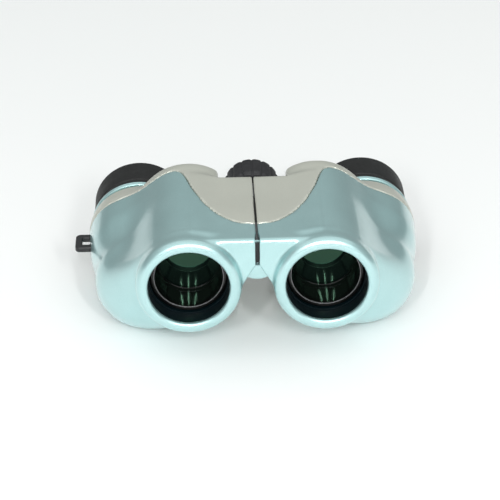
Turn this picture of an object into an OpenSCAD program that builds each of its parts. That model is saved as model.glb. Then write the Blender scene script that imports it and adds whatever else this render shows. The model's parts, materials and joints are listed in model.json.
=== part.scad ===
// Compact reverse-porro binoculars, lying on a table with the objectives facing -Y.
// X is left and right, +Y runs from the objectives to the eyepieces, Z = 0 is the table.
// The left half is the fixed body. The right half folds about the hinge line over the centre.

/* [Optical layout] */
// Distance of each objective axis from the middle plane
objective_x = 20.2; // [20:0.1:20.4]
// Height of the objective axes above the table
objective_z = 25.4; // [25.2:0.1:25.6]
// Distance of each eyepiece axis from the middle plane
eyepiece_x = 35.5; // [35.3:0.1:35.7]
// Height of the hinge line above the table
hinge_z = 32; // [31.8:0.1:32.2]

/* [Housing] */
// Front plane of the objective rims
rim_y = -39; // [-39.4:0.1:-38.8]
// Radius of the housing around the objective barrel
tube_r = 15.6; // [15.5:0.1:15.8]
// Radius of the housing around the eyepiece, which rests on the table
pod_r = 15.9; // [15.8:0.1:16.1]
// Height of the bridge between the two halves
bridge_top = 39.7; // [39.5:0.1:39.9]
// Wall thickness of the moulded covers
wall = 1.8; // [1.6:0.1:1.8]
// Half the slit between the two halves
slit = 0.25; // [0.2:0.05:0.35]
// Half angle of the open V under the bridge
v_angle = 31; // [30:1:31]
// Depth of the flat that the pods rest on
foot_cut = 0.25; // [0.2:0.05:0.3]

/* [Optics] */
// Bore radius at the mouth of the objective barrel
mouth_r = 11.9; // [11.9:0.05:12]
// Outer radius of the sliding objective cell
cell_r = 11.55; // [11.5:0.01:11.56]
// Radius of the objective lens
lens_r = 10.5; // [10.3:0.1:10.5]
// Width of the prisms
prism_w = 11; // [10.5:0.1:11]

/* [Eyepieces and focus] */
// Outer radius of the rubber eyecups
cup_r = 14.7; // [14.5:0.1:14.8]
// Outer radius of the coloured eyepiece rings
ring_r = 15.2; // [15:0.1:15.3]
// End of the eyecups
cup_end = 33.1; // [32.9:0.1:33.3]
// Outer radius of the focus wheel
wheel_r = 8.5; // [8.3:0.1:8.6]
// Number of ribs around the focus wheel
wheel_ribs = 16; // [12:1:20]

/* [Hidden] */

LEFT = -1;
RIGHT = 1;
FINE = 96;
SOFT = 32;
FIT = 0.05;

// Housing, from front to rear
eyepiece_z = pod_r - foot_cut;
tube_end = 13.6;
pod_end = 15.8;
notch_x = 10.5;
notch_y = 4.4;
bridge_y = rim_y + 2.7;
rim_lip = 1.4;
pod_front = -13;
pod_nose_r = 14;
belly = [23.1, 13.1, 8.6];
seam_gap = 0.08;
tongue = 60;

// Hinge, front knuckles first
knuckle_r = 6;
hinge_room = knuckle_r + 0.35;
pin_r = 2.5;
knuckle_front = [-33.3, -28.3];
knuckle_front_right = [-28, -22.4];
knuckle_rear_right = [-6, -2];
knuckle_rear = [-1.7, 2.4];
rail = [6.4, 10.4, 34.4, 37.2];
bush_r = 3.2;

// Focus mechanism
shaft_r = 2;
pilot_r = 1.2;
groove = [-17.75, -14.85];
groove_r = 3.5;
arm_y = [-17.6, -15];
wheel_y = [4.8, 14.6];
travel = 2.5;
sleeve_gap = [knuckle_front_right[1] + 0.2, knuckle_rear_right[0] - 0.6];

// Objective barrel
sleeve_front = rim_y + rim_lip;
sleeve_end = -15;
mouth_depth = 4.8;
sleeve_r = 12.9;
cell_y = [-32, -17.6];
lens_seat = -22.3;

// Prism folds: the beam goes from the objective axis to knee, then to the eyepiece axis
turn = 45;
shift = norm([eyepiece_x - objective_x, eyepiece_z - objective_z]);
slope = atan2(eyepiece_z - objective_z, eyepiece_x - objective_x);
leg = shift * cos(turn);
knee = [objective_x + leg * cos(slope - turn), objective_z + leg * sin(slope - turn)];
prism_y = [-2.2, -1];
ridge = 1.2;

// Eyepiece
neck_r = 12.4;
barrel_r = 11;
ring_y = [17, 18.8];

// Plan line where the front shell meets the rear cover, as x and y
SEAM = [
  [0, -26.2], [4, -25.9], [6.5, -24.6], [9, -22.5], [11.9, -19], [14.8, -14.7], [16.8, -10.2], [18.6, -5.4],
  [20.4, 1.6], [21.2, 4.1], [22.2, 5.9], [23.4, 7], [24.7, 7.5], [31.5, 7.6], [38, 7.8], [43, 8.3], [47.5, 9.1],
  [52, 9.5]
];

module on_side(side) mirror([side < 0 ? 1 : 0, 0, 0]) children();

// A straight cylinder along Y
module rod(x, z, r, y0, y1, fn = FINE)
  translate([x, y0, z]) rotate([-90, 0, 0]) cylinder(h = y1 - y0, r = r, $fn = fn);

// A solid of revolution about an axis along Y, from [radius, y] points
module turned(x, z, profile)
  translate([x, 0, z]) rotate([-90, 0, 0]) rotate_extrude($fn = FINE) polygon(profile);

// A flat plate across Y, from an outline in X and Z
module plate(y0, y1) translate([0, y1, 0]) rotate([90, 0, 0]) linear_extrude(y1 - y0) children();

module block(x, y, z) translate([x[0], y[0], z[0]]) cube([x[1] - x[0], y[1] - y[0], z[1] - z[0]]);

// ---------- Housing ----------

module section(x, z, r, y0, y1) rod(x, z, r, y0, y1, SOFT);

module ball(x, y, z, r) translate([x, y, z]) sphere(r = r, $fn = SOFT);

// The outer form of one half, or its hollow when inset is the wall thickness
module half_form(inset = 0) {
  front = inset > 0 ? sleeve_front : rim_y;
  rim_round = inset > 0 ? 0.4 : 1.3;
  difference() {
    union() {
      hull() {
        section(objective_x, objective_z, tube_r - rim_round - inset, front, front + 2);
        section(objective_x, objective_z, tube_r - inset, front + 1.4, tube_end - 3);
        section(objective_x, objective_z, tube_r - 3 - inset, tube_end - 4, tube_end - inset);
      }
      hull() {
        ball(eyepiece_x - 0.6, pod_front, pod_nose_r - foot_cut, pod_nose_r - inset);
        section(eyepiece_x, eyepiece_z - 0.7, pod_r - 0.7 - inset, 0, 1);
        section(eyepiece_x, eyepiece_z, pod_r - inset, 9, pod_end - 2.2);
        section(eyepiece_x, eyepiece_z, pod_r - 2 - inset, pod_end - 1 - inset, pod_end - inset);
      }
      hull() {
        section(objective_x, objective_z, tube_r - 1 - inset, -31, tube_end - 3.4);
        ball(eyepiece_x - 2, pod_front, pod_nose_r, pod_nose_r - 2 - inset);
        section(eyepiece_x, eyepiece_z, pod_r - 1.6 - inset, 0, tube_end - 3.4);
      }
      hull() {
        ball(belly[0], -12, belly[1], belly[2] - inset);
        section(belly[0], belly[1], belly[2] - inset, -11, 10);
        section(objective_x, objective_z, 10, -14, 10);
        section(eyepiece_x, eyepiece_z, 10, -8, 10);
      }
      bridge_block(inset);
    }
    block([-1, notch_x + inset], [notch_y - inset, tongue], [0, tongue]);
  }
}

// The web between the barrels, with its slanted underside
module bridge_block(inset) {
  lean = [inset * cos(v_angle), inset * sin(v_angle)];
  foot = 10;
  plate(bridge_y + inset, notch_y - inset)
    polygon([
      [slit + inset / 2, bridge_top - inset],
      [14, bridge_top - inset],
      [objective_x, hinge_z],
      [foot * tan(v_angle) + lean[0], hinge_z - foot + lean[1]],
      [slit + inset / 2, hinge_z - 0.1 + lean[1]]
    ]);
}

// Everything in front of the seam line, or behind it
module seam_side(front) {
  edge = [for (p = SEAM) [p[0], p[1] + (front ? -seam_gap : seam_gap)]];
  far = front ? -tongue : tongue;
  last = edge[len(edge) - 1];
  translate([0, 0, -5]) linear_extrude(tongue)
    polygon(concat([[-2, far], [-2, edge[0][1]]], edge, [[tongue, last[1]], [tongue, far]]));
}

module housing_cuts() {
  rod(objective_x, objective_z, mouth_r + 0.15, rim_y - 1, rim_y + 3, 64);
  rod(eyepiece_x, eyepiece_z, neck_r + 0.2, pod_end - 4, pod_end + 1, 64);
  rod(0, hinge_z, hinge_room, bridge_y + wall, notch_y + 1, 64);
  block([-tongue, slit], [-tongue, tongue], [0, tongue]);
  block([0, tongue], [-tongue, tongue], [-5, 0]);
  for (p = screw_spots) {
    rod(p[0], p[1], 0.95, 5, tongue, SOFT);
    rod(p[0], p[1], 1.75, screw_seat, tongue, SOFT);
  }
}

module half_shell(front)
  difference() {
    intersection() {
      half_form();
      seam_side(front);
    }
    half_form(wall);
    housing_cuts();
  }

// The strap lug's root passes through a close socket in the left front shell
module left_front_shell() color("lightsteelblue")
  difference() {
    on_side(LEFT) half_shell(true);
    block([lug_x[0] - 1, lug_x[1] + 1], [lug_y[0], lug_y[1]] + [-0.02, 0.02], lug_z + [-0.02, 0.02]);
  }
module right_front_shell() color("lightsteelblue") on_side(RIGHT) half_shell(true);
module left_rear_cover() color("silver") on_side(LEFT) half_shell(false);
module right_rear_cover() color("silver") on_side(RIGHT) half_shell(false);

// ---------- Hinge ----------

module knuckle(y, bore)
  difference() {
    union() {
      rod(0, hinge_z, knuckle_r, y[0], y[1]);
      block([2, rail[0] + 1], y, [hinge_z + 0.6, rail[3]]);
    }
    rod(0, hinge_z, bore, y[0] - 1, y[1] + 1);
  }

// A die-cast frame: two knuckles on a rail that the covers are screwed to
module hinge_frame(front, rear, front_bore, rear_bore) {
  knuckle(front, front_bore);
  knuckle(rear, rear_bore);
  block([rail[0], rail[1]], [front[0], rear[1]], [rail[2], rail[3]]);
}

module left_hinge_frame() color("dimgray")
  on_side(LEFT) hinge_frame(knuckle_front, knuckle_rear, pin_r, bush_r);
module right_hinge_frame() color("dimgray")
  on_side(RIGHT) hinge_frame(knuckle_front_right, knuckle_rear_right, pin_r + FIT, bush_r + FIT);

// The pin's rear end carries the front of the focus shaft
module hinge_pin() color("gainsboro")
  difference() {
    rod(0, hinge_z, pin_r, knuckle_front[0], knuckle_front_right[1] - 0.2);
    rod(0, hinge_z, pilot_r + FIT, knuckle_front_right[1] - 3, knuckle_front_right[1]);
  }

module hinge_cap() color("lightsteelblue")
  turned(0, hinge_z, [
    [0, knuckle_front[0] - 1], [knuckle_r - 0.6, knuckle_front[0] - 1],
    [knuckle_r, knuckle_front[0] - 0.5], [knuckle_r, knuckle_front[0]], [0, knuckle_front[0]]
  ]);

module washer(y0, y1, r)
  turned(0, hinge_z, [[r, y0], [knuckle_r - 0.4, y0], [knuckle_r - 0.4, y1], [r, y1]]);

module hinge_washers() color("goldenrod") {
  washer(knuckle_front[1], knuckle_front_right[0], pin_r + FIT);
  washer(knuckle_rear_right[1], knuckle_rear[0], bush_r + FIT);
}

module rear_bush() color("goldenrod")
  turned(0, hinge_z, [
    [shaft_r + FIT, knuckle_rear_right[0] - 0.4], [bush_r, knuckle_rear_right[0] - 0.4],
    [bush_r, notch_y], [shaft_r + FIT, notch_y]
  ]);

// A thin tube that closes the bridge around the focus screw, slotted for the two arms
module bridge_sleeve() color("dimgray")
  difference() {
    rod(0, hinge_z, knuckle_r - 0.1, sleeve_gap[0], sleeve_gap[1]);
    rod(0, hinge_z, knuckle_r - 0.7, sleeve_gap[0] - 1, sleeve_gap[1] + 1);
    plate(sleeve_gap[0] - 1, arm_y[1] + travel + 0.7) translate([0, hinge_z]) {
      polygon([[0, 0], [-9, 7], [-9, -9], [-4, -9]]);
      polygon([[0, 0], [9, 7], [9, -9], [0, -9]]);
    }
  }

// ---------- Objective barrel ----------

toward_hinge = atan2(hinge_z - objective_z, -objective_x);
hinge_reach = norm([objective_x, hinge_z - objective_z]);

module objective_sleeve()
  difference() {
    turned(objective_x, objective_z, [
      [mouth_r, sleeve_front], [sleeve_r, sleeve_front], [sleeve_r, sleeve_end],
      [cell_r + FIT, sleeve_end], [cell_r + FIT, sleeve_front + mouth_depth],
      [mouth_r, sleeve_front + mouth_depth]
    ]);
    translate([objective_x, arm_y[0] - travel - 0.4, objective_z]) rotate([0, -toward_hinge, 0])
      translate([0, 0, -3.2]) cube([20, 20, 6.4]);
  }
module left_objective_sleeve() color("#1c1d1f") on_side(LEFT) objective_sleeve();
module right_objective_sleeve() color("#1c1d1f") on_side(RIGHT) objective_sleeve();

// A conical black cell in front of the lens seat
module objective_cell()
  turned(objective_x, objective_z, [
    [10.1, cell_y[0] + 0.3], [10.5, cell_y[0]], [cell_r - 0.3, cell_y[0]], [cell_r, cell_y[0] + 0.3],
    [cell_r, cell_y[1]], [lens_r + FIT, cell_y[1]], [lens_r + FIT, lens_seat], [9.2, lens_seat]
  ]);
module left_objective_cell() color("#131416") on_side(LEFT) objective_cell();
module right_objective_cell() color("#131416") on_side(RIGHT) objective_cell();

// Height of a spherical lens face of radius big over its rim at radius r
function sag(big, r) = big - sqrt(big * big - r * r);

// Points on a lens face that bulges toward the front when dir is -1
function face(y, big, r, dir) = [for (i = [0 : 8]) let(q = r * i / 8)
  [q, y + dir * (sag(big, r) - sag(big, q))]];
function reversed(list) = [for (i = [len(list) - 1 : -1 : 0]) list[i]];

crown_big = 50;
flint_big = 80;

module objective_lens()
  turned(objective_x, objective_z, concat(
    face(lens_seat, crown_big, 9.1, -1), [[9.1, lens_seat], [lens_r, lens_seat], [lens_r, lens_seat + 1.4]],
    reversed(face(lens_seat + 1.4, crown_big, lens_r - 0.1, 1))));
module left_objective_lens() color("#3c8f6c") on_side(LEFT) objective_lens();
module right_objective_lens() color("#3c8f6c") on_side(RIGHT) objective_lens();

module flint_lens()
  turned(objective_x, objective_z, concat(
    face(lens_seat + 1.42, crown_big, lens_r - 0.1, 1), [[lens_r, lens_seat + 1.42], [lens_r, lens_seat + 3.6]],
    reversed(face(lens_seat + 3.6, flint_big, lens_r - 0.1, -1))));
module left_flint_lens() color("#7fb89f") on_side(LEFT) flint_lens();
module right_flint_lens() color("#7fb89f") on_side(RIGHT) flint_lens();

module lens_retainer()
  difference() {
    turned(objective_x, objective_z, [
      [9, lens_seat + 3.6], [lens_r, lens_seat + 3.6], [lens_r, cell_y[1] - 0.1], [9, cell_y[1] - 0.1]
    ]);
    for (a = [0, 180]) translate([objective_x, 0, objective_z]) rotate([0, a + 40, 0])
      block([8.5, 9.9], [cell_y[1] - 0.7, cell_y[1] + 1], [-0.6, 0.6]);
  }
module left_lens_retainer() color("#2a2b2d") on_side(LEFT) lens_retainer();
module right_lens_retainer() color("#2a2b2d") on_side(RIGHT) lens_retainer();

// A flat arm from the back of the cell to an eye in the carriage groove
module focus_arm(eye_y)
  difference() {
    union() {
      rod(objective_x, objective_z, cell_r - 0.1, arm_y[0], arm_y[0] + 1.6);
      translate([objective_x, arm_y[0], objective_z]) rotate([0, -toward_hinge, 0])
        translate([9, 0, -2.4]) cube([hinge_reach - 9 - groove_r - 0.8, arm_y[1] - arm_y[0], 4.8]);
      rod(0, hinge_z, 5, eye_y, eye_y + 1.2);
    }
    rod(objective_x, objective_z, 9, arm_y[0] - 1, arm_y[1] + 1);
    rod(0, hinge_z, groove_r + FIT, arm_y[0] - 1, arm_y[1] + 1);
    rod(0, hinge_z, 5.3, arm_y[0] - 1, eye_y);
    rod(0, hinge_z, 5.3, eye_y + 1.2, arm_y[1] + 1);
  }
module left_focus_arm() color("silver") on_side(LEFT) focus_arm(arm_y[0]);
module right_focus_arm() color("silver") on_side(RIGHT) focus_arm(arm_y[1] - 1.2);

// ---------- Prisms ----------

// A stadium outline that covers both beams between two axes
module beam_pair(a, b, r) {
  along = atan2(b[1] - a[1], b[0] - a[0]);
  step = 9;
  polygon([
    for (t = [-90 : step : 90]) b + r * [cos(along + t), sin(along + t)],
    for (t = [90 : step : 270]) a + r * [cos(along + t), sin(along + t)]
  ]);
}

// A right-angle prism with its long face at y and its ridge depth away along dir
module porro_prism(a, b, y, dir) {
  along = atan2(b[1] - a[1], b[0] - a[0]);
  mid = (a + b) / 2;
  half_len = norm(b - a) / 2 + prism_w / 2;

  intersection() {
    plate(y - 20, y + 20) beam_pair(a, b, prism_w / 2);
    translate([mid[0], y, mid[1]]) rotate([0, -along, 0]) translate([0, 0, -10]) linear_extrude(20)
      polygon([[-half_len, 0], [half_len, 0], [ridge, dir * (half_len - ridge)], [-ridge, dir * (half_len - ridge)]]);
  }
}

objective_axis = [objective_x, objective_z];
eyepiece_axis = [eyepiece_x, eyepiece_z];

module left_rear_prism() color("#cfe8ea") on_side(LEFT) porro_prism(objective_axis, knee, prism_y[1], 1);
module right_rear_prism() color("#cfe8ea") on_side(RIGHT) porro_prism(objective_axis, knee, prism_y[1], 1);
module left_front_prism() color("#cfe8ea") on_side(LEFT) porro_prism(knee, eyepiece_axis, prism_y[0], -1);
module right_front_prism() color("#cfe8ea") on_side(RIGHT) porro_prism(knee, eyepiece_axis, prism_y[0], -1);

// The plate between the long faces, with a window for each beam
module prism_plate()
  difference() {
    plate(prism_y[0], prism_y[1]) union() {
      beam_pair(objective_axis, knee, prism_w / 2 + 1);
      beam_pair(knee, eyepiece_axis, prism_w / 2 + 1);
      beam_pair(objective_axis, eyepiece_axis, prism_w / 2 + 1.5);
      for (p = screw_spots) beam_pair(objective_axis, p, 2.4);
    }
    for (axis = [objective_axis, knee, eyepiece_axis])
      rod(axis[0], axis[1], prism_w / 2 - 0.8, prism_y[0] - 1, prism_y[1] + 1);
    for (p = screw_spots) rod(p[0], p[1], screw_r, prism_y[0] - 1, prism_y[1] + 1);
  }
module left_prism_plate() color("#26282a") on_side(LEFT) prism_plate();
module right_prism_plate() color("#26282a") on_side(RIGHT) prism_plate();

// A spring strap over each prism's ridge
module prism_clip(a, b, y, dir) {
  along = atan2(b[1] - a[1], b[0] - a[0]);
  mid = (a + b) / 2;
  half_len = norm(b - a) / 2 + prism_w / 2;
  strap_w = 4;
  top = half_len - ridge + 0.02;
  translate([mid[0], y, mid[1]]) rotate([0, -along, 0]) translate([0, 0, -strap_w / 2]) linear_extrude(strap_w)
    polygon([
      [-ridge - 2, dir * (top - 2)], [-ridge, dir * top], [ridge, dir * top], [ridge + 2, dir * (top - 2)],
      [ridge + 2.3, dir * (top - 1.7)], [ridge + 0.2, dir * (top + 0.4)],
      [-ridge - 0.2, dir * (top + 0.4)], [-ridge - 2.3, dir * (top - 1.7)]
    ]);
}
module prism_clips() {
  prism_clip(objective_axis, knee, prism_y[1], 1);
  prism_clip(knee, eyepiece_axis, prism_y[0], -1);
}
module left_prism_clips() color("gainsboro") on_side(LEFT) prism_clips();
module right_prism_clips() color("gainsboro") on_side(RIGHT) prism_clips();

// ---------- Eyepieces ----------

// A black tube with a flange inside the cover and a neck through it
module eyepiece_tube()
  turned(eyepiece_x, eyepiece_z, [
    [barrel_r, 10.2], [neck_r, 10.2], [neck_r, 12], [13.4, 12], [13.4, pod_end - wall - 0.6],
    [neck_r, pod_end - wall - 0.6], [neck_r, 20.4], [barrel_r, 20.4]
  ]);
module left_eyepiece_tube() color("#1c1d1f") on_side(LEFT) eyepiece_tube();
module right_eyepiece_tube() color("#1c1d1f") on_side(RIGHT) eyepiece_tube();

module eyepiece_ring()
  turned(eyepiece_x, eyepiece_z, [
    [neck_r + FIT, ring_y[0]], [ring_r - 0.3, ring_y[0]], [ring_r, ring_y[0] + 0.3],
    [ring_r, ring_y[1] - 0.3], [ring_r - 0.3, ring_y[1]], [neck_r + FIT, ring_y[1]]
  ]);
module left_eyepiece_ring() color("lightsteelblue") on_side(LEFT) eyepiece_ring();
module right_dioptre_ring() color("lightsteelblue") on_side(RIGHT) eyepiece_ring();

barrel_end = 27.4;
module eyepiece_barrel()
  turned(eyepiece_x, eyepiece_z, [
    [9.6, 11.4], [barrel_r - FIT, 11.4], [barrel_r - FIT, barrel_end], [8, barrel_end], [8, 26.4],
    [8.8, 26.4], [8.8, 22.6], [8, 22.6], [8, 16], [9.6, 16]
  ]);
module left_eyepiece_barrel() color("#131416") on_side(LEFT) eyepiece_barrel();
module right_eyepiece_barrel() color("#131416") on_side(RIGHT) eyepiece_barrel();

module field_lens()
  turned(eyepiece_x, eyepiece_z, concat(
    face(13, 26, 9, -1), [[9.55, 13], [9.55, 15.95]], [[0, 15.95]]));
module left_field_lens() color("#8fb7c4") on_side(LEFT) field_lens();
module right_field_lens() color("#8fb7c4") on_side(RIGHT) field_lens();

module eye_lens()
  turned(eyepiece_x, eyepiece_z, concat(
    face(22.6, 20, 8, -1), [[8.75, 22.6], [8.75, 24.2]], reversed(face(24.2, 30, 7.9, 1))));
module left_eye_lens() color("#8f7fb4") on_side(LEFT) eye_lens();
module right_eye_lens() color("#8f7fb4") on_side(RIGHT) eye_lens();

cup_base = ring_y[1];
module eyecup()
  turned(eyepiece_x, eyepiece_z, [
    [neck_r + 0.1, cup_base], [cup_r - 0.3, cup_base], [cup_r, cup_base + 0.4], [cup_r, cup_end - 0.4],
    [cup_r - 0.4, cup_end], [12.6, cup_end], [12.3, cup_end - 0.4], [12, barrel_end + 0.2],
    [barrel_r, barrel_end + 0.2], [barrel_r, 21.8], [neck_r + 0.1, 21.8]
  ]);
module left_eyecup() color("#2b2c2e") on_side(LEFT) eyecup();
module right_eyecup() color("#2b2c2e") on_side(RIGHT) eyecup();

// ---------- Fasteners ----------

// Screws from the rear face of each cover into the prism plate
screw_spots = [[objective_x - 6, objective_z - 6.5], [objective_x + 5.3, objective_z + 6.6]];
screw_seat = tube_end - 1;
screw_r = 0.9;
module cover_screws()
  for (p = screw_spots)
    turned(p[0], p[1], [
      [0, prism_y[0]], [screw_r, prism_y[0]], [screw_r, screw_seat], [1.6, screw_seat],
      [1.6, tube_end - 0.2], [0, tube_end - 0.2]
    ]);
module left_cover_screws() color("#303133") on_side(LEFT) cover_screws();
module right_cover_screws() color("#303133") on_side(RIGHT) cover_screws();

// ---------- Focus mechanism ----------

module focus_shaft() color("gainsboro")
  turned(0, hinge_z, [
    [0, sleeve_gap[0] - 2.6], [pilot_r, sleeve_gap[0] - 2.6], [pilot_r, sleeve_gap[0]], [shaft_r, sleeve_gap[0]],
    [shaft_r, wheel_y[1] - 1.6], [0, wheel_y[1] - 1.6]
  ]);

module focus_carriage() color("goldenrod")
  turned(0, hinge_z, [
    [shaft_r + FIT, groove[0] - 1.4], [4.9, groove[0] - 1.4], [4.9, groove[0]], [groove_r, groove[0]],
    [groove_r, groove[1]], [4.9, groove[1]], [4.9, groove[1] + 1.4], [shaft_r + FIT, groove[1] + 1.4]
  ]);

module focus_wheel() color("#232426")
  turned(0, hinge_z, [
    [shaft_r, wheel_y[0]], [wheel_r - 1.8, wheel_y[0]], [wheel_r - 1.8, wheel_y[1] - 0.6],
    [6, wheel_y[1] - 0.6], [6, wheel_y[1] - 1.6], [shaft_r, wheel_y[1] - 1.6]
  ]);

// A moulded rubber tyre with straight ribs
module focus_wheel_grip() color("#2f3032")
  difference() {
    turned(0, hinge_z, [
      [wheel_r - 1.8, wheel_y[0]], [wheel_r - 0.5, wheel_y[0]], [wheel_r, wheel_y[0] + 0.6],
      [wheel_r, wheel_y[1] - 0.9], [wheel_r - 0.8, wheel_y[1]], [wheel_r - 1.8, wheel_y[1]]
    ]);
    for (i = [0 : wheel_ribs - 1]) translate([0, 0, hinge_z]) rotate([0, i * 360 / wheel_ribs, 0])
      block([-0.35, 0.35], [wheel_y[0] - 1, wheel_y[1] + 1], [wheel_r - 0.7, wheel_r + 1]);
  }

module wheel_end_cap() color("#1c1d1f")
  turned(0, hinge_z, [
    [0, wheel_y[1] - 1.6], [5.95, wheel_y[1] - 1.6], [5.95, wheel_y[1] - 0.5], [0, wheel_y[1] - 0.1]
  ]);

// ---------- Strap lug ----------

lug_x = [-55.4, -48.6];
lug_y = [0.3, 8.7];
lug_z = [16.1, 17.9];
lug_bar = 2.1;
lug_slot = [2.4, 6.6];

module strap_lug() color("#1c1d1f")
  difference() {
    block(lug_x, lug_y, lug_z);
    block([lug_x[0] + lug_bar, lug_x[0] + lug_bar + 2.4], lug_slot, [0, tongue]);
    for (s = [[lug_y[0], 45], [lug_y[1], 45]])
      translate([lug_x[0], s[0], 0]) rotate([0, 0, s[1]]) translate([-1, -1, 0]) cube([2, 2, tongue]);
  }

left_front_shell();
right_front_shell();
left_rear_cover();
right_rear_cover();
left_hinge_frame();
right_hinge_frame();
hinge_pin();
hinge_cap();
hinge_washers();
rear_bush();
bridge_sleeve();
left_objective_sleeve();
right_objective_sleeve();
left_objective_cell();
right_objective_cell();
left_objective_lens();
right_objective_lens();
left_flint_lens();
right_flint_lens();
left_lens_retainer();
right_lens_retainer();
left_focus_arm();
right_focus_arm();
left_prism_plate();
right_prism_plate();
left_rear_prism();
right_rear_prism();
left_front_prism();
right_front_prism();
left_prism_clips();
right_prism_clips();
left_eyepiece_tube();
right_eyepiece_tube();
left_eyepiece_ring();
right_dioptre_ring();
left_eyepiece_barrel();
right_eyepiece_barrel();
left_field_lens();
right_field_lens();
left_eye_lens();
right_eye_lens();
left_eyecup();
right_eyecup();
left_cover_screws();
right_cover_screws();
focus_shaft();
focus_carriage();
focus_wheel();
focus_wheel_grip();
wheel_end_cap();
strap_lug();
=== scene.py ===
import json
import math

import bmesh
import bpy
import numpy as np
from mathutils import Matrix, Vector


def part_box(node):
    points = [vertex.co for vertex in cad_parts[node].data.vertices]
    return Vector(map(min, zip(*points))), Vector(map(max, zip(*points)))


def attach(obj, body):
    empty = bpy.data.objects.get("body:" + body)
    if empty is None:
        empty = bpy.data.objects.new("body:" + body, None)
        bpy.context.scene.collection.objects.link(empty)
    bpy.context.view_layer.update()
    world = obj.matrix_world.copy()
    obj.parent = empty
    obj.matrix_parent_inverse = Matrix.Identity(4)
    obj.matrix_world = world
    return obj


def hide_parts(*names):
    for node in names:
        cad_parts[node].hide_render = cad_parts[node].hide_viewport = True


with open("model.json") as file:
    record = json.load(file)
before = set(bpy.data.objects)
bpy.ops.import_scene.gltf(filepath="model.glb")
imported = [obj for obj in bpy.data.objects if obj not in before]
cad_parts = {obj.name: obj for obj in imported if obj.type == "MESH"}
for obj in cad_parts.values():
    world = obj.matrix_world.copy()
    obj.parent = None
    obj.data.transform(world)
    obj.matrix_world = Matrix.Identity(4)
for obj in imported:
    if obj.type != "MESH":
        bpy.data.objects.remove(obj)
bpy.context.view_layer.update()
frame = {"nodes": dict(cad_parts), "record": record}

# Lengths are millimetres in this file, and metres in the meshes.
MM = 0.001


def span(node):
    """A CAD node's lowest and highest corners."""
    lo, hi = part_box(node)
    return np.array(lo) / MM, np.array(hi) / MM


def axis_of(node):
    """The x and z of the middle of a CAD node that is turned about Y."""
    lo, hi = span(node)
    return (lo[0] + hi[0]) / 2, (lo[2] + hi[2]) / 2


# Axes of the right objective, the right eyepiece and the hinge, and the front plane of the rims
AX, AZ = axis_of("right_objective_cell")
EX, EZ = axis_of("right_eyecup")
HZ = axis_of("hinge_cap")[1]
RIM_Y = span("right_front_shell")[0][1]
SLEEVE_FRONT = span("right_objective_sleeve")[0][1]

# Housing: objective tube, shoulder, eyepiece pod and prism belly
TUBE_R = 15.6
TUBE_END = 13.6
SHOULDER_R = 14.8
POD_FRONT = -13
POD_FRONT_Z = 13.75
POD_NOSE_R = 13.4
POD_R = 13.38
POD_END = 15.8
BELLY = (23.1, 13.1)
BELLY_R = 8.6
WALL = 1.7

# Bridge with the hinge in its front face and the notch for the focus wheel
BRIDGE_Y = RIM_Y + 2.7
BRIDGE_TOP = 39.85
BRIDGE_LOW = 22
BRIDGE_SIDE = 18
V_ANGLE = math.radians(31)
NOTCH_Y = 4.4
NOTCH_X = 10.5
HINGE_ROOM = 6.35

# Holes through the housing, and the places of the cover screws as x and z
MOUTH_R = 11.95
BORE_R = 12.98
NECK_R = 12.62
SCREWS = [(AX - 6, AZ - 6.5), (AX + 5.3, AZ + 6.6)]


# ---------- Distance fields of the housing ----------


def smin(a, b, k):
    """A union whose inner corner is filled over a width of k."""
    h = np.clip(0.5 + 0.5 * (b - a) / k, 0, 1)
    return b + (a - b) * h - k * h * (1 - h)


def blend(a, b, k):
    """A softer union, without a visible line where it starts."""
    low = np.minimum(a, b)
    return low - k * np.log(np.exp((low - a) / k) + np.exp((low - b) / k))


def rmax(a, b, r):
    """Where both are negative, with the edge between them rounded to radius r."""
    return np.minimum(-r, np.maximum(a, b)) + np.hypot(np.maximum(a + r, 0), np.maximum(b + r, 0))


def ease(t):
    """0 below 0, 1 above 1, smooth between."""
    t = np.clip(t, 0, 1)
    return t * t * (3 - 2 * t)


# The line between front shell and rear cover in plan, as x and y. These are the points that the CAD source
# has.
SEAM = np.array([
    (0, -26.2), (4, -25.9), (6.5, -24.6), (9, -22.5), (11.9, -19), (14.8, -14.7), (16.8, -10.2), (18.6, -5.4),
    (20.4, 1.6), (21.2, 4.1), (22.2, 5.9), (23.4, 7), (24.7, 7.5), (31.5, 7.6), (38, 7.8), (43, 8.3),
    (47.5, 9.1), (52, 9.5),
])


def smooth_line(points, step=0.05, reach=0.9):
    """A dense, softly rounded copy of a line of (x, y) points."""
    x = np.arange(points[0, 0], points[-1, 0] + step, step)
    y = np.interp(x, points[:, 0], points[:, 1])
    window = np.hanning(2 * int(reach / step) + 1)
    pad = len(window) // 2
    y = np.convolve(np.pad(y, pad, mode="reflect", reflect_type="odd"), window / window.sum(), mode="valid")
    return x, y


SEAM_X, SEAM_LINE = smooth_line(SEAM)


def seam_y(x):
    return np.interp(np.abs(x), SEAM_X, SEAM_LINE)


def seam_distance(x, y):
    """Distance behind the seam, in plan."""
    slope = (seam_y(x + 0.05) - seam_y(x - 0.05)) / 0.1
    return (y - seam_y(x)) / np.sqrt(1 + slope * slope)


def capsule(x, z, a, b, ra, rb):
    """Distance from a tapered capsule in the XZ plane. b, ra and rb may be arrays."""
    dx, dz = b[0] - a[0], b[1] - a[1]
    h = ((x - a[0]) * dx + (z - a[1]) * dz) / np.maximum(dx * dx + dz * dz, 1e-6)
    h = np.clip(h, 0, 1)
    return np.hypot(x - a[0] - h * dx, z - a[1] - h * dz) - (ra + h * (rb - ra))


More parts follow.
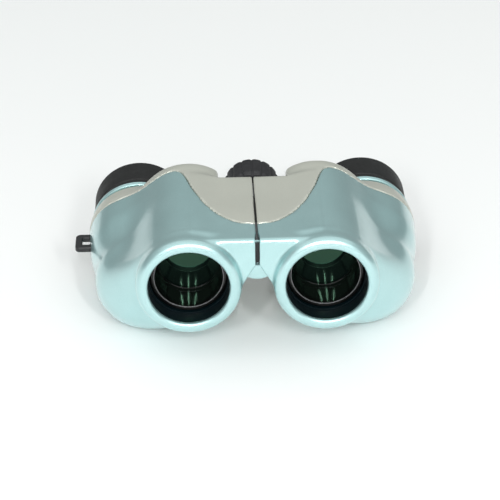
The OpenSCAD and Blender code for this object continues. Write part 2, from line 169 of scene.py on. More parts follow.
def form(x, y, z):
    """The outer form of the right half."""
    # objective tube with a rounded rim
    rear = ease((y - 7) / 4.5)
    radius = TUBE_R - 0.09 - 0.95 * ease((y + 36.5) / 7) + 0.6 * rear
    inward = 0.8 * ease((y + 24) / 18)
    tube = capsule(x, z, (AX, AZ), (AX - inward - 0.01, AZ), radius, radius)
    tube = rmax(tube, RIM_Y + 0.03 - y, 2.0)
    tube = rmax(tube, y - TUBE_END, 3.6)

    # eyepiece pod, with a ball nose
    t = ease((y - POD_FRONT) / 22)
    pod_x, pod_z = EX - 0.6 + 0.6 * t, POD_FRONT_Z + (EZ - POD_FRONT_Z) * t
    across = np.hypot(x - pod_x, z - pod_z)
    nose = np.hypot(across, y - POD_FRONT) - POD_NOSE_R
    pod = np.where(y < POD_FRONT, nose, across - (POD_R + 1.7 * t + 0.6 * rear))
    pod = rmax(pod, y - POD_END, 2.2)

    # shoulder between them
    lead = np.clip((y + 33) / 18, 0, 1)
    lead = lead * (2 - lead)
    tail = ease((y + 13) / 14)
    far = (AX + lead * (EX - 2 + 2 * tail - AX), AZ + lead * (14 + (EZ - 14) * tail - AZ))
    low = 13.5 + 0.6 * tail
    shoulder = capsule(x, z, (AX, AZ), far, SHOULDER_R, SHOULDER_R + lead * (low - SHOULDER_R))
    shoulder = rmax(shoulder, -35.5 - y, 5)
    shoulder = rmax(shoulder, y - 11.2, 3.4)

    # belly that holds the prisms
    belly = np.minimum(
        capsule(x, z, BELLY, (AX, AZ), BELLY_R, 10), capsule(x, z, BELLY, (EX, EZ), BELLY_R, 10)
    )
    belly = rmax(rmax(belly, -19.5 - y, 7.5), y - 11, 4)

    body = blend(blend(tube, shoulder, 1.0), pod, 1.4)
    body = smin(body, belly, 4.0)
    body = rmax(body, y - POD_END, 0.4)

    # bridge to the hinge
    top = BRIDGE_TOP - 0.4 * ease((y + 24) / 20)
    under = -(x * math.cos(V_ANGLE) + (z - HZ) * math.sin(V_ANGLE))
    bridge = rmax(z - top, BRIDGE_Y - y, 1.15)
    bridge = rmax(bridge, y - NOTCH_Y, 0.7)
    bridge = rmax(bridge, under, 0.6)
    bridge = np.maximum(np.maximum(bridge, x - BRIDGE_SIDE), BRIDGE_LOW - z)
    fillet = 1.0 + 1.4 * ease((y + 35) / 4)
    body = smin(body, bridge, fillet)

    # notch for the focus wheel, and the flat that the pod rests on
    notch = np.maximum(NOTCH_Y - y, x - NOTCH_X)
    body = rmax(body, -notch, 0.9)
    body = rmax(body, -z, 0.3)
    return body


def slit_half(y, z):
    """Half the gap between the two halves, wider towards the front and the top."""
    return 0.2 + 0.12 * ease((2 - y) / 24) + 0.3 * ease((-31 - y) / 4) * np.clip((z - HZ + 3) / 4, 0, 1)


def cuts(x, y, z):
    """Holes through the housing: positive inside them."""
    bore = np.hypot(x - AX, z - AZ)
    mouth = np.where(y < SLEEVE_FRONT + 0.02, MOUTH_R, BORE_R) - bore
    mouth = np.minimum(mouth, -8 - y)
    neck = np.minimum(NECK_R - np.hypot(x - EX, z - EZ), y - 11)
    hinge = np.minimum(HINGE_ROOM - np.hypot(x, z - HZ), y - BRIDGE_Y - 1.8)
    holes = np.maximum(np.maximum(mouth, neck), hinge)
    for sx, sz in SCREWS:
        reach = np.hypot(x - sx, z - sz)
        holes = np.maximum(holes, np.where(y > TUBE_END - 1, 1.8, 0.95) - reach)
    return holes


def solid_field(x, y, z):
    """The right half as one hollow moulding with its holes, before it is split along the seam."""
    outer = form(x, y, z)
    shell = rmax(outer, slit_half(y, z) - x, 0.45)
    hollow = np.maximum(outer + WALL, slit_half(y, z) + 0.5 - x)
    bore = np.hypot(x - AX, z - AZ)
    shell = rmax(shell, MOUTH_R - bore - 40 * (y > -30), 1.0)
    return np.maximum(np.maximum(shell, -hollow), cuts(x, y, z))


def front_field(x, y, z):
    return rmax(solid_field(x, y, z), seam_distance(x, y) + 0.1, 0.05)


def rear_field(x, y, z):
    return rmax(solid_field(x, y, z), 0.1 - seam_distance(x, y), 0.02)


def surface_net(field, low, high, step):
    """Quads over the zero level of a distance field, moved onto the exact surface."""
    axes = [np.arange(a, b + step, step) for a, b in zip(low, high)]
    shape = tuple(len(a) for a in axes)
    values = np.empty(shape)
    slab = 8
    for i in range(0, shape[0], slab):
        grid = np.meshgrid(axes[0][i : i + slab], axes[1], axes[2], indexing="ij")
        values[i : i + slab] = field(*grid)
    inside = values < 0
    corners = [(i, j, k) for i in (0, 1) for j in (0, 1) for k in (0, 1)]
    cut = [slice(None, -1), slice(1, None)]
    count = sum(inside[cut[i], cut[j], cut[k]].astype(np.int8) for i, j, k in corners)
    active = (count > 0) & (count < 8)
    cells = np.argwhere(active)
    index = np.full(active.shape, -1)
    index[active] = np.arange(len(cells))
    total = np.zeros((len(cells), 3))
    hits = np.zeros(len(cells))
    for a in corners:
        for d in range(3):
            if a[d]:
                continue
            b = tuple(1 if n == d else a[n] for n in range(3))
            va = values[tuple((cells + a).T)]
            vb = values[tuple((cells + b).T)]
            crossed = (va < 0) != (vb < 0)
            t = np.where(crossed, va / np.where(crossed, va - vb, 1), 0)
            point = np.array(a) + t[:, None] * (np.array(b) - np.array(a))
            total += np.where(crossed[:, None], point, 0)
            hits += crossed
    verts = (cells + total / hits[:, None]) * step + np.array([a[0] for a in axes])
    quads = []
    for d in range(3):
        u, v = (d + 1) % 3, (d + 2) % 3
        head = [slice(None)] * 3
        tail = [slice(None)] * 3
        head[d], tail[d] = slice(None, -1), slice(1, None)
        change = inside[tuple(head)] != inside[tuple(tail)]
        where = np.argwhere(change)
        ok = (where[:, u] > 0) & (where[:, v] > 0)
        ok &= (where[:, u] < shape[u] - 1) & (where[:, v] < shape[v] - 1)
        where = where[ok]
        flip = ~inside[tuple(where.T)]
        ring = []
        for du, dv in ((1, 1), (0, 1), (0, 0), (1, 0)):
            cell = where.copy()
            cell[:, u] -= du
            cell[:, v] -= dv
            ring.append(index[tuple(cell.T)])
        quad = np.stack(ring, 1)
        quad[flip] = quad[flip][:, ::-1]
        quads.append(quad)
    quads = np.concatenate(quads)
    return settle(field, verts, quads, step), quads


def gradient(field, p, h=0.02):
    """The field's slope at each point, by central differences of h."""
    g = np.empty_like(p)
    for d in range(3):
        e = np.zeros(3)
        e[d] = h
        g[:, d] = (field(*(p + e).T) - field(*(p - e).T)) / (2 * h)
    return g


def project(field, p, step):
    """Moves points onto the zero level, by at most half a step."""
    g = gradient(field, p)
    size = np.maximum((g * g).sum(1), 0.25)
    move = -(field(*p.T) / size)[:, None] * g
    length = np.linalg.norm(move, axis=1, keepdims=True)
    return p + move * np.minimum(1, 0.5 * step / np.maximum(length, 1e-9))


def settle(field, verts, quads, step):
    """Evens out the net along the surface, then lands it on the surface."""
    edges = np.concatenate([quads[:, [i, (i + 1) % 4]] for i in range(4)])
    for _ in range(2):
        total = np.zeros_like(verts)
        hits = np.zeros(len(verts))
        for a, b in ((0, 1), (1, 0)):
            np.add.at(total, edges[:, a], verts[edges[:, b]])
            np.add.at(hits, edges[:, a], 1)
        verts = verts + 0.45 * (total / hits[:, None] - verts)
        verts = project(field, verts, step)
    return project(field, verts, step)


# ---------- Meshes ----------

LEFT, RIGHT = -1, 1


def mesh_piece(name, verts, faces, body, material, replaces=(), sharp=35):
    """A new closed piece from points in millimetres, with its faces turned outward."""
    verts = np.asarray(verts, float) * MM
    mesh = bpy.data.meshes.new(name)
    mesh.from_pydata(verts.tolist(), [], [list(map(int, f)) for f in faces])
    shape = bmesh.new()
    shape.from_mesh(mesh)
    if shape.calc_volume(signed=True) < 0:
        bmesh.ops.reverse_faces(shape, faces=shape.faces)
    shape.to_mesh(mesh)
    shape.free()
    mesh.shade_smooth()
    mesh.set_sharp_from_angle(angle=math.radians(sharp))
    piece = bpy.data.objects.new(name, mesh)
    bpy.context.scene.collection.objects.link(piece)
    mesh.materials.append(material)
    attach(piece, body)
    if replaces:
        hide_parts(*replaces)
    return piece


def fillet(points, n=4):
    """A closed outline with its corners rounded. A point is (r, y) or (r, y, radius)."""
    out = []
    for i, point in enumerate(points):
        p = np.array(point[:2], float)
        radius = point[2] if len(point) > 2 else 0
        if radius <= 0:
            out.append(tuple(p))
            continue
        a = np.array(points[i - 1][:2], float) - p
        b = np.array(points[(i + 1) % len(points)][:2], float) - p
        la, lb = np.linalg.norm(a), np.linalg.norm(b)
        a, b = a / la, b / lb
        half = 0.5 * math.acos(float(np.clip(a @ b, -1, 1)))
        cut = min(radius / math.tan(half), 0.48 * la, 0.48 * lb)
        r = cut * math.tan(half)
        centre = p + (a + b) / np.linalg.norm(a + b) * (r / math.sin(half))
        start, end = p + a * cut - centre, p + b * cut - centre
        turn = math.acos(float(np.clip(start @ end / (r * r), -1, 1)))
        for j in range(n + 1):
            s = j / n
            w = (math.sin((1 - s) * turn) * start + math.sin(s * turn) * end) / math.sin(turn)
            out.append(tuple(centre + w))
    return out


def lathe(profile, cx, cz, segments=128, wobble=None):
    """Turns an outline of (r, y) points about an axis along Y. An outline that starts and ends at
    r = 0 is open, and any other is closed. wobble(angle, r, y) may change the radius."""
    on_axis = profile[0][0] < 1e-9 and profile[-1][0] < 1e-9
    verts, rings = [], []
    for r, y in profile:
        if r < 1e-9:
            rings.append([len(verts)])
            verts.append((cx, y, cz))
            continue
        rings.append(list(range(len(verts), len(verts) + segments)))
        for i in range(segments):
            a = 2 * math.pi * i / segments
            q = wobble(a, r, y) if wobble else r
            verts.append((cx + q * math.sin(a), y, cz + q * math.cos(a)))
    faces = []
    pairs = list(zip(rings, rings[1:])) + ([] if on_axis else [(rings[-1], rings[0])])
    for a, b in pairs:
        for i in range(segments):
            j = (i + 1) % segments
            if len(a) == 1:
                faces.append((a[0], b[j], b[i]))
            elif len(b) == 1:
                faces.append((a[i], a[j], b[0]))
            else:
                faces.append((a[i], a[j], b[j], b[i]))
    return verts, faces


# ---------- Materials ----------


class Finish:
    """A Principled material with a small node builder."""

    def __init__(self, name):
        self.material = bpy.data.materials.new(name)
        self.material.use_nodes = True
        self.nodes = self.material.node_tree.nodes
        self.links = self.material.node_tree.links
        self.shader = self.nodes["Principled BSDF"]
        self.coords = self.nodes.new("ShaderNodeTexCoord").outputs["Object"]

    def set(self, **values):
        for key, value in values.items():
            socket = self.shader.inputs[key.replace("_", " ")]
            if hasattr(socket.default_value, "__len__") and len(value) == 3:
                value = (*value, 1)
            socket.default_value = value
        return self

    def noise(self, scale, detail=2, rough=0.5, stretch=None):
        source = self.coords
        if stretch:
            mapping = self.nodes.new("ShaderNodeMapping")
            mapping.inputs["Scale"].default_value = stretch
            self.links.new(source, mapping.inputs["Vector"])
            source = mapping.outputs["Vector"]
        node = self.nodes.new("ShaderNodeTexNoise")
        node.inputs["Scale"].default_value = scale
        node.inputs["Detail"].default_value = detail
        node.inputs["Roughness"].default_value = rough
        self.links.new(source, node.inputs["Vector"])
        return node.outputs["Fac"]

    def cells(self, scale):
        node = self.nodes.new("ShaderNodeTexVoronoi")
        node.inputs["Scale"].default_value = scale
        self.links.new(self.coords, node.inputs["Vector"])
        return node.outputs["Color"]

    def spread(self, value, low, high, to_low, to_high):
        node = self.nodes.new("ShaderNodeMapRange")
        for key, number in zip(("From Min", "From Max", "To Min", "To Max"), (low, high, to_low, to_high)):
            node.inputs[key].default_value = number
        self.links.new(value, node.inputs["Value"])
        return node.outputs["Result"]

    def ramp(self, value, *stops):
        node = self.nodes.new("ShaderNodeValToRGB")
        ramp = node.color_ramp
        for i, (place, colour) in enumerate(stops):
            stop = ramp.elements[i] if i < 2 else ramp.elements.new(place)
            stop.position = place
            stop.color = (*colour, 1)
        self.links.new(value, node.inputs["Fac"])
        return node.outputs["Color"]

    def edges(self):
        geometry = self.nodes.new("ShaderNodeNewGeometry")
        return geometry.outputs["Pointiness"]

    def mix(self, factor, a, b):
        node = self.nodes.new("ShaderNodeMix")
        node.data_type = "RGBA"
        for key, value in (("Factor", factor), ("A", a), ("B", b)):
            socket = [s for s in node.inputs if s.name == key and s.enabled][0]
            if isinstance(value, bpy.types.NodeSocket):
                self.links.new(value, socket)
            else:
                socket.default_value = value if key == "Factor" else (*value, 1)
        return [s for s in node.outputs if s.enabled][0]

    def colour(self, value):
        self.links.new(value, self.shader.inputs["Base Color"])
        return self

    def rough(self, value):
        self.links.new(value, self.shader.inputs["Roughness"])
        return self

    def bump(self, height, strength, distance):
        node = self.nodes.new("ShaderNodeBump")
        node.inputs["Strength"].default_value = strength
        node.inputs["Distance"].default_value = distance * MM
        self.links.new(height, node.inputs["Height"])
        self.links.new(node.outputs["Normal"], self.shader.inputs["Normal"])
        return self


def paint(name, dark, light, metal, rough, coat, edge_highlight):
    """Sprayed metallic paint: a fine flake, soft cloudiness, and a painted highlight that lightens convex
    edges.
    """
    f = Finish(name)
    flake = f.ramp(f.cells(5200), (0.0, dark), (1.0, light))
    cloud = f.ramp(f.noise(55, 3), (0.3, dark), (0.7, light))
    base = f.mix(0.5, flake, cloud)
    # Painted highlight: where pointiness marks a convex edge, the colour is mixed towards a lighter copy of
    # the paint.
    edge = f.spread(f.edges(), 0.52, 0.57, 0, edge_highlight)
    lit = tuple(min(1, c * 1.2 + 0.04) for c in light)
    f.colour(f.mix(edge, base, lit))
    f.rough(f.spread(f.noise(420, 4), 0.3, 0.7, rough - 0.02, rough + 0.03))
    f.bump(f.noise(2600, 3, 0.6), 0.05, 0.02)
    f.set(Metallic=metal, Coat_Weight=coat, Coat_Roughness=0.12, Coat_IOR=1.6)
    return f.material


def rubber(name, tone, grain=2400, depth=0.03):
    f = Finish(name)
    speck = f.ramp(f.noise(900, 4), (0.3, tuple(c * 0.8 for c in tone)), (0.7, tuple(c * 1.25 for c in tone)))
    # Painted sheen: where pointiness marks a convex edge, the colour is mixed towards a lighter copy of the
    # rubber tone.
    edge = f.spread(f.edges(), 0.51, 0.56, 0, 0.4)
    f.colour(f.mix(edge, speck, tuple(c * 2.1 for c in tone)))
    f.rough(f.spread(f.noise(180, 3), 0.3, 0.7, 0.5, 0.66))
    f.bump(f.noise(grain, 3, 0.6), 0.4, depth)
    f.set(Specular_IOR_Level=0.3)
    return f.material


def plastic(name, tone, rough, grain=1800, depth=0.012, level=0.5):
    f = Finish(name)
    dark, light = tuple(c * 0.85 for c in tone), tuple(c * 1.15 for c in tone)
    f.colour(f.ramp(f.noise(300, 3), (0.3, dark), (0.7, light)))
    f.rough(f.spread(f.noise(240, 3), 0.3, 0.7, rough * 0.85, rough * 1.15))
    f.bump(f.noise(grain, 2), 0.3, depth)
    f.set(Specular_IOR_Level=level)
    return f.material


def metal(name, tone, rough, stretch=(1, 0.05, 1)):
    """Brushed or cast metal: streaks along the turning direction."""
    f = Finish(name)
    streak = f.noise(2600, 3, 0.6, stretch)
    f.colour(f.ramp(streak, (0.3, tuple(c * 0.82 for c in tone)), (0.7, tone)))
    f.rough(f.spread(streak, 0.3, 0.7, rough * 0.8, rough * 1.25))
    f.bump(streak, 0.25, 0.012)
    f.set(Metallic=1.0)
    return f.material


def coated_glass(name, base, tint, rough=0.03, ior=1.7):
    f = Finish(name)
    f.colour(f.ramp(f.noise(120, 2), (0.3, tuple(c * 0.7 for c in base)), (0.7, base)))
    f.set(Roughness=rough, IOR=ior, Specular_Tint=tint, Specular_IOR_Level=0.5)
    return f.material


def clear_glass(name, base):
    f = Finish(name)
    f.colour(f.ramp(f.noise(90, 2), (0.3, tuple(c * 0.92 for c in base)), (0.7, base)))
    f.set(Roughness=0.04, IOR=1.52, Transmission_Weight=0.85)
    return f.material


# The last number is the strength of the painted highlight on convex edges.
BLUE = paint("blue_metallic_paint", (0.41, 0.635, 0.64), (0.495, 0.735, 0.74), 0.8, 0.33, 0.9, 0.08)
GREY = paint("silver_grey_paint", (0.53, 0.54, 0.475), (0.59, 0.60, 0.53), 0.4, 0.38, 0.2, 0)
CUP_RUBBER = rubber("eyecup_rubber", (0.012, 0.0125, 0.0125))
GRIP_RUBBER = rubber("wheel_rubber", (0.020, 0.020, 0.022), 3000, 0.04)
BLACK_PLASTIC = plastic("black_plastic", (0.012, 0.012, 0.013), 0.42)
SATIN_BLACK = plastic("satin_black", (0.006, 0.009, 0.010), 0.32)
BORE = plastic("bore_black", (0.001, 0.006, 0.008), 0.4, level=0.25)
GLOSS_BLACK = plastic("gloss_black", (0.002, 0.002, 0.002), 0.12, 900, 0.004, 0.4)
STEEL = metal("turned_steel", (0.62, 0.62, 0.60), 0.3)
BRASS = metal("turned_brass", (0.78, 0.57, 0.26), 0.3)
CAST = metal("cast_alloy", (0.30, 0.30, 0.31), 0.5, (1, 1, 1))
ARM = metal("stamped_alloy", (0.5, 0.51, 0.52), 0.35, (1, 1, 0.1))
SCREW = metal("blackened_screw", (0.06, 0.06, 0.065), 0.38)
OBJECTIVE_GLASS = coated_glass("green_coated_glass", (0.002, 0.004, 0.004), (0.42, 1.0, 0.64), 0.04, 1.62)
EYE_GLASS = coated_glass("violet_coated_glass", (0.008, 0.007, 0.014), (0.55, 0.45, 1.0))
INNER_GLASS = clear_glass("lens_glass", (0.75, 0.86, 0.82))
PRISM_GLASS = clear_glass("prism_glass", (0.86, 0.92, 0.92))


# ---------- Housing ----------

# The box that each net is made in reaches from front to back in y, and clears the half in x and z
NET_STEP = 0.5
NET_X, NET_Z = (-0.6, 52.3), (-0.9, 41.8)
for field, part, finish, slot, front, back in (
    (front_field, "front_shell", BLUE, "blue_paint", -39.9, 10.4),
    (rear_field, "rear_cover", GREY, "grey_paint", -27, 16.6),
):
    verts, quads = surface_net(field, (NET_X[0], front, NET_Z[0]), (NET_X[1], back, NET_Z[1]), NET_STEP)
    for side, word, body in ((LEFT, "left", "root"), (RIGHT, "right", "right_half")):
        mesh_piece(
            f"{word}_{part}_moulding", verts * (side, 1, 1), quads, body, finish,
            [f"{word}_{part}"], 40,
        )

# ---------- Turned pieces ----------


def arc(radius, y, depth, count=20):
    """Points of a lens face from its middle to its rim. The middle is depth beyond y."""
    big = (radius * radius + depth * depth) / (2 * abs(depth))
    out = []
    for i in range(count + 1):
        r = radius * i / count
        fall = big - math.sqrt(big * big - r * r)
        out.append((r, y + depth - math.copysign(fall, depth)))
    return out


def turned_pair(part, profile, x, z, bodies, material, segments=128):
    """The left and right copies of a turned piece, in place of the CAD nodes of the same name. The
    right eyepiece ring is the dioptre ring, and its node is named so."""
    for side, word, body in ((LEFT, "left", bodies[0]), (RIGHT, "right", bodies[1])):
        node = f"{word}_{part}"
        if node not in frame["nodes"]:
            node = "right_dioptre_ring"
        verts, faces = lathe(profile, x, z, segments)
        mesh_piece(f"{node}_turned", np.array(verts) * (side, 1, 1), faces, body, material, [node])


CELL_Y, CELL_END = span("right_objective_cell")[0][1], span("right_objective_cell")[1][1]
CELL_R = (span("right_objective_cell")[1][0] - span("right_objective_cell")[0][0]) / 2
# Front of the objective lens's rim, where the cell's shoulder holds it
SEAT_Y = -22.3
cell = [
    (10.05, CELL_Y + 0.35, 0.12), (10.42, CELL_Y, 0.1), (CELL_R - 0.4, CELL_Y, 0.15),
    (CELL_R, CELL_Y + 0.4, 0.1), (CELL_R, CELL_END), (10.55, CELL_END), (10.55, SEAT_Y), (9.2, SEAT_Y),
    (9.2, SEAT_Y - 0.35, 0.08), (9.42, SEAT_Y - 0.5, 0.08), (9.5, SEAT_Y - 1.9, 0.06),
    (9.62, SEAT_Y - 2.0, 0.06),
]
OBJECTIVES = ("left_objective", "right_objective")
turned_pair("objective_cell", fillet(cell, 3), AX, AZ, OBJECTIVES, GLOSS_BLACK, 160)
lip = [(10.14, CELL_Y - 0.04, 0.05), (10.4, CELL_Y - 0.04, 0.05), (10.4, CELL_Y + 0.1), (10.14, CELL_Y + 0.3)]
for side, body in zip((LEFT, RIGHT), OBJECTIVES):
    verts, faces = lathe(fillet(lip, 3), AX, AZ, 160)
    mesh_piece(f"{body}_bright_lip", np.array(verts) * (side, 1, 1), faces, body, CAST)
crown = arc(9.1, SEAT_Y, -0.83) + [(9.12, SEAT_Y + 0.02), (10.5, SEAT_Y + 0.02), (10.5, SEAT_Y + 1.38)]
crown += list(reversed(arc(10.4, SEAT_Y + 1.4, 1.08)))
turned_pair("objective_lens", crown, AX, AZ, OBJECTIVES, OBJECTIVE_GLASS)

RING_Y = (span("right_dioptre_ring")[0][1], span("right_dioptre_ring")[1][1])
ring = [
    (12.46, RING_Y[0]), (14.85, RING_Y[0], 0.2), (15.2, RING_Y[0] + 0.35, 0.2),
    (15.2, RING_Y[0] + 0.72, 0.08), (15.0, RING_Y[0] + 0.9, 0.08), (15.2, RING_Y[0] + 1.08, 0.08),
    (15.2, RING_Y[1] - 0.35, 0.2), (14.85, RING_Y[1], 0.2), (12.46, RING_Y[1]),
]
turned_pair("eyepiece_ring", fillet(ring, 3), EX, EZ, ("root", "right_dioptre"), BLUE, 160)

CUP_END = span("right_eyecup")[1][1]
CUP_R = (span("right_eyecup")[1][0] - span("right_eyecup")[0][0]) / 2
CUP_GROOVE = (20.9, 21.85)
CUP_BACK = 21.8
CUP_FLOOR = 27.62
cup = [
    (12.5, RING_Y[1]), (CUP_R - 0.45, RING_Y[1], 0.3), (CUP_R - 0.05, RING_Y[1] + 0.5, 0.3),
    (CUP_R - 0.05, CUP_GROOVE[0], 0.15), (CUP_R - 0.4, CUP_GROOVE[0] + 0.25, 0.12),
    (CUP_R - 0.4, CUP_GROOVE[1] - 0.25, 0.12), (CUP_R - 0.05, CUP_GROOVE[1], 0.15),
    (CUP_R, CUP_END, 1.0), (12.85, CUP_END, 0.7), (12.25, 31.2, 0.4), (12.0, CUP_FLOOR, 0.3),
    (11.02, CUP_FLOOR, 0.2), (11.02, CUP_BACK), (12.5, CUP_BACK),
]
turned_pair("eyecup", fillet(cup, 5), EX, EZ, ("root", "right_dioptre"), CUP_RUBBER, 144)

# Ends of the eyepiece barrel, and the seat of the eye lens in it
BARREL_Y = (11.4, 27.4)
EYE_SEAT = (22.6, 25.2)
EYE_R = 8.0
barrel = [
    (9.6, BARREL_Y[0]), (10.95, BARREL_Y[0]), (10.95, BARREL_Y[1], 0.25), (9.9, BARREL_Y[1], 0.1),
    (9.75, BARREL_Y[1] - 0.3, 0.08), (9.35, BARREL_Y[1] - 0.3, 0.08), (9.2, BARREL_Y[1], 0.1),
    (8.9, BARREL_Y[1], 0.15), (8.15, BARREL_Y[1] - 0.9, 0.15), (EYE_R, EYE_SEAT[1] + 0.5, 0.1),
    (EYE_R, EYE_SEAT[1]), (8.8, EYE_SEAT[1]), (8.8, EYE_SEAT[0]), (EYE_R, EYE_SEAT[0]),
    (EYE_R, 16.0), (9.6, 16.0),
]
turned_pair(
    "eyepiece_barrel", fillet(barrel, 3), EX, EZ, ("root", "right_eyepiece"), SATIN_BLACK, 144
)
EYE_BACK = EYE_SEAT[0] + 1.6
eye = arc(EYE_R, EYE_SEAT[0], -1.6) + [(8.75, EYE_SEAT[0] + 0.02), (8.75, EYE_BACK)]
eye += list(reversed(arc(EYE_R - 0.1, EYE_BACK, 1.05)))
turned_pair("eye_lens", eye, EX, EZ, ("root", "right_eyepiece"), EYE_GLASS)

CAP_BACK = span("hinge_cap")[1][1]


def cap_field(x, y, z):
    """A domed disc in the V, with a recess behind the slit between the two halves."""
    r = np.hypot(x, z - HZ)
    dome = rmax(r - 6.3, CAP_BACK - 2.0 + 0.5 * (r / 6) ** 2 - y, 0.5)
    dome = np.maximum(dome, y - CAP_BACK)
    recess = np.maximum(HZ - 1.1 - z, y - CAP_BACK + 0.5)
    return rmax(dome, -recess, 0.15)


verts, quads = surface_net(cap_field, (-6.8, -36.2, HZ - 6.8), (6.8, CAP_BACK + 0.4, HZ + 6.8), 0.25)
mesh_piece("hinge_cap_dome", verts, quads, "root", BLUE, ["hinge_cap"], 50)


def slit_shade_field(x, y, z):
    """A black disc behind the slit between the halves: painted shade that keeps the narrow gap dark."""
    disc = np.maximum(np.hypot(x, z - HZ) - 5.9, HZ - 0.95 - z)
    return rmax(disc, np.abs(y - CAP_BACK + 0.75) - 0.24, 0.1)


# Painted shade: this black disc stands for the shade inside the slit.
verts, quads = surface_net(slit_shade_field, (-6.4, -35.6, HZ - 1.4), (6.4, CAP_BACK, HZ + 6.4), 0.2)
mesh_piece("hinge_slit_painted_shade", verts, quads, "root", BLACK_PLASTIC, (), 50)

# focus wheel: a coarse ribbed tyre and a dished end cap
WHEEL_Y = (span("focus_wheel_grip")[0][1], span("focus_wheel_grip")[1][1])
WHEEL_R = (span("focus_wheel_grip")[1][2] - span("focus_wheel_grip")[0][2]) / 2
WHEEL_MID = 9.7
RIBS = 16


def ribbed(angle, r, y):
    """The tyre's radius, with a narrow valley between each two ribs."""
    pitch = 2 * math.pi / RIBS
    off = (angle + pitch / 2) % pitch - pitch / 2
    valley = math.exp(-((off / 0.045) ** 2))
    return r - 0.34 * valley * min(1, max(0, (r - WHEEL_R + 1.7) / 0.8))


tyre = [
    (WHEEL_R - 1.79, WHEEL_Y[0]), (WHEEL_R - 0.9, WHEEL_Y[0], 0.3), (WHEEL_R, WHEEL_Y[0] + 0.9, 0.5),
    *[(WHEEL_R, WHEEL_MID + along) for along in (-2.5, 0, 2.5)], (WHEEL_R, WHEEL_Y[1] - 1.1, 0.6),
    (WHEEL_R - 1.0, WHEEL_Y[1], 0.4), (WHEEL_R - 1.79, WHEEL_Y[1]),
]
verts, faces = lathe(fillet(tyre, 5), 0, HZ, 320, ribbed)
mesh_piece("focus_wheel_tyre", verts, faces, "focus_wheel", GRIP_RUBBER, ["focus_wheel_grip"], 45)
END_Y = span("wheel_end_cap")[1][1]
dish = [
    (0, END_Y - 0.45), (2.2, END_Y - 0.42), (3.6, END_Y - 0.2), (4.1, END_Y - 0.02), (4.7, END_Y),
    (5.3, END_Y - 0.12), (5.75, END_Y - 0.4), (5.94, END_Y - 0.75), (5.94, END_Y - 1.5), (0, END_Y - 1.5),
]
verts, faces = lathe(dish, 0, HZ, 96)
mesh_piece(
    "wheel_end_cap_dish", verts, faces, "focus_wheel", GLOSS_BLACK, ["wheel_end_cap"], 50
)


def lug_field(x, y, z):
    """The strap lug: a flat loop with rounded corners and edges."""
    lo, hi = span("strap_lug")
    mid, half = (lo + hi) / 2, (hi - lo) / 2
    corner = 1.5
    dx = np.abs(x - mid[0] - 4) - (half[0] + 4 - corner)
    dy = np.abs(y - mid[1]) - (half[1] - corner)
    plan = np.hypot(np.maximum(dx, 0), np.maximum(dy, 0)) + np.minimum(np.maximum(dx, dy), 0) - corner
    plan = np.maximum(plan, x - hi[0])
    slot_x = np.abs(x - lo[0] - 3.3) - 0.9
    slot_y = np.abs(y - mid[1]) - 1.8
    hole = np.hypot(np.maximum(slot_x, 0), np.maximum(slot_y, 0)) - 0.3
    hole = hole + np.minimum(np.maximum(slot_x, slot_y), 0)
    loop = rmax(plan, -hole, 0.35)
    return rmax(loop, np.abs(z - mid[2]) - half[2], 0.4)


lo, hi = span("strap_lug")
verts, quads = surface_net(lug_field, lo - 0.41, hi + 0.41, 0.2)
mesh_piece("strap_lug_loop", verts, quads, "root", BLACK_PLASTIC, ["strap_lug"], 50)


HEAD_R = 1.58
HEAD_FRONT = 12.6
CROSS = (0.2, 1.0)


def head_field(x, y, z):
    """A cover screw: a round head with a cross recess, on a plain shank."""
    r = np.hypot(x, z)
    back = span("right_cover_screws")[1][1]
    dome = np.maximum(r - HEAD_R, y - back + 0.12 * (r / HEAD_R) ** 2)
    thin, long = CROSS
    cross = np.minimum(
        np.maximum(np.abs(x) - thin, np.abs(z) - long), np.maximum(np.abs(z) - thin, np.abs(x) - long)
    )
    dome = np.maximum(dome, -np.maximum(cross, back - 0.5 - y))
    shank = np.maximum(r - 0.88, -1.9 - y)
    return np.maximum(np.minimum(np.maximum(dome, HEAD_FRONT - y), shank), y - back)


verts, quads = surface_net(head_field, (-1.9, -2.1, -1.9), (1.9, 13.8, 1.9), 0.1)
for side, word, body in ((LEFT, "left", "root"), (RIGHT, "right", "right_half")):
    many = np.concatenate([(verts + (sx, 0, sz)) * (side, 1, 1) for sx, sz in SCREWS])
    faces = np.concatenate([quads, quads + len(verts)])
    mesh_piece(f"{word}_cross_screws", many, faces, body, SCREW, [f"{word}_cover_screws"], 40)

# ---------- CAD nodes that keep their shape ----------

KEPT = {
    "cast_metal": CAST, "steel": STEEL, "brass": BRASS, "arm_metal": ARM, "black_plastic": BLACK_PLASTIC,
    "black_gloss": GLOSS_BLACK, "rubber": GRIP_RUBBER, "coated_lens": OBJECTIVE_GLASS,
    "lens_glass": INNER_GLASS, "eye_lens_glass": EYE_GLASS, "prism_glass": PRISM_GLASS,
    "screw_black": SCREW, "blue_paint": BLUE, "grey_paint": GREY,
}
slot_of = {part["node"]: part["material_slot"] for part in frame["record"]["subparts"]}
for name, node in frame["nodes"].items():
    finish = BORE if "objective_sleeve" in name else KEPT[slot_of[name]]
    node.data.materials.clear()
    node.data.materials.append(finish)

# ---------- Stage, light and camera ----------

floor = bpy.data.objects.new("floor", bpy.data.meshes.new("floor"))
floor.data.from_pydata([(-4, -4, 0), (4, -4, 0), (4, 4, 0), (-4, 4, 0)], [], [(0, 1, 2, 3)])
bpy.context.scene.collection.objects.link(floor)
f = Finish("pale_table")
f.colour(f.ramp(f.noise(3, 2), (0.3, (0.905, 0.915, 0.91)), (0.7, (0.925, 0.93, 0.925))))
f.set(Roughness=0.6, Specular_IOR_Level=0.2)
floor.data.materials.append(f.material)


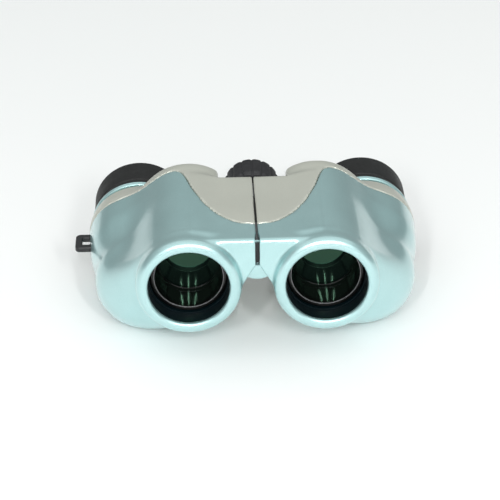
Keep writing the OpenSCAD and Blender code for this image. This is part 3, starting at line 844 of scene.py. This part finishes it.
def softbox(name, place, target, size, power):
    """A rectangular light at a place, turned to a target. size is in metres and power in watts."""
    light = bpy.data.lights.new(name, "AREA")
    light.shape = "RECTANGLE"
    light.size, light.size_y = size
    light.energy = power
    lamp = bpy.data.objects.new(name, light)
    lamp.location = place
    lamp.rotation_euler = (Vector(target) - Vector(place)).to_track_quat("-Z", "Y").to_euler()
    bpy.context.scene.collection.objects.link(lamp)
    return lamp


softbox("top_light", (0, 0.0, 1.3), (0, 0, 0), (2.8, 2.8), 11)
softbox("front_fill", (0, -1.5, 0.7), (0, 0, 0), (2.8, 1.2), 9)

for i in (-1, 0, 1):
    softbox(f"strip_{i + 1}", (0.3 * i, -1.04, 0.72), (0, 0, 0.025), (0.016, 0.26), 3.6)

world = bpy.data.worlds.new("studio")
bpy.context.scene.world = world
world.use_nodes = True
tree = world.node_tree
direction = tree.nodes.new("ShaderNodeTexCoord").outputs["Generated"]
height = tree.nodes.new("ShaderNodeSeparateXYZ")
tree.links.new(direction, height.inputs["Vector"])
room = tree.nodes.new("ShaderNodeValToRGB")
room.color_ramp.elements[0].color = (0.37, 0.40, 0.40, 1)
room.color_ramp.elements[1].color = (0.63, 0.665, 0.66, 1)
room.color_ramp.elements[1].position = 0.45
zenith = room.color_ramp.elements.new(1.0)
zenith.color = (0.88, 0.92, 0.91, 1)
tree.links.new(height.outputs["Z"], room.inputs["Fac"])
tree.links.new(room.outputs["Color"], tree.nodes["Background"].inputs["Color"])
tree.nodes["Background"].inputs["Strength"].default_value = 0.55

# The view: its angles, its distance in metres, and the lens in millimetres
ELEVATION = math.radians(29.677)
AZIMUTH = math.radians(-1.775)
ROLL = math.radians(-0.625)
DISTANCE = 0.6
SENSOR = 36
LENS = 139.294
SHIFT = (-0.00701, -0.02451)
back = Vector((
    math.sin(AZIMUTH) * math.cos(ELEVATION), -math.cos(AZIMUTH) * math.cos(ELEVATION), math.sin(ELEVATION)
))
camera_data = bpy.data.cameras.new("camera")
camera = bpy.data.objects.new("camera", camera_data)
bpy.context.scene.collection.objects.link(camera)
turn = (-back).to_track_quat("-Z", "Y").to_matrix() @ Matrix.Rotation(ROLL, 3, "Z")
camera.matrix_world = Matrix.Translation(Vector((0, 0, 0.02)) + back * DISTANCE) @ turn.to_4x4()
camera_data.sensor_width = SENSOR
camera_data.lens = LENS
camera_data.shift_x, camera_data.shift_y = SHIFT
camera_data.clip_start = 0.02
bpy.context.scene.camera = camera
bpy.context.scene.view_settings.view_transform = "Standard"
